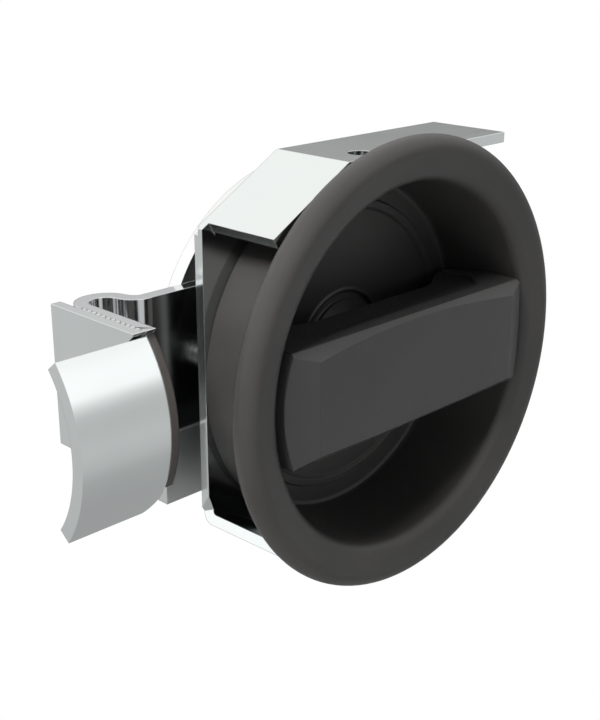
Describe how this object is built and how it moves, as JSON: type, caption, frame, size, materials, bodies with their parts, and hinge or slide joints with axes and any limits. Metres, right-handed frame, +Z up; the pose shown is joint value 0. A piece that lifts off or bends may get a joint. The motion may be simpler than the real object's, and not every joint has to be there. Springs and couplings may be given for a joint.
{
  "type": "flush cam latch",
  "caption": "Flush quarter-turn cam latch with a round cup, a recessed T-bar, a folded back bracket and a bent arm that carries a serrated plate and a curved jaw.",
  "frame": {"origin": "on the spindle's axis, in the rim's rear face that lies on the panel", "axes": "+Y into the panel along the spindle, +X to the user's right across the rim, +Z up; the arm points to -X at rest"},
  "size_m": [0.169, 0.0678, 0.13],
  "materials": {
    "moulded_black": "fine matt moulding",
    "handle_black": "fine matt moulding",
    "gasket_rubber": "matt",
    "polished_steel": "polished",
    "arm_steel": "polished",
    "disc_steel": "polished",
    "fastener_steel": "satin",
    "bronze_bush": "satin",
    "washer_plastic": "matt"
  },
  "bodies": {
    "fixed": {"cup": "moulded_black", "rim_gasket": "gasket_rubber", "bush": "bronze_bush", "bracket": "polished_steel", "tab_washer": "fastener_steel", "hub_nut": "fastener_steel"},
    "turning": {"handle": "handle_black", "cross_pin": "fastener_steel", "spindle": "fastener_steel", "o_ring": "gasket_rubber", "retaining_ring": "fastener_steel", "thrust_washer": "washer_plastic", "arm": "arm_steel", "stop_stud": "fastener_steel", "back_disc": "disc_steel", "disc_rivets": "fastener_steel", "serrated_plate": "polished_steel", "jaw": "polished_steel", "clamp_bolt": "fastener_steel", "clamp_washer": "fastener_steel", "clamp_nut": "fastener_steel", "spindle_washer": "fastener_steel", "spring_washer": "fastener_steel", "spindle_nut": "fastener_steel"}
  },
  "joints": [
    {"name": "handle_turn", "type": "hinge", "parent": "fixed", "child": "turning", "pos_m": [0, 0, 0], "axis": [0, 1, 0], "range_deg": [0, 90]}
  ]
}
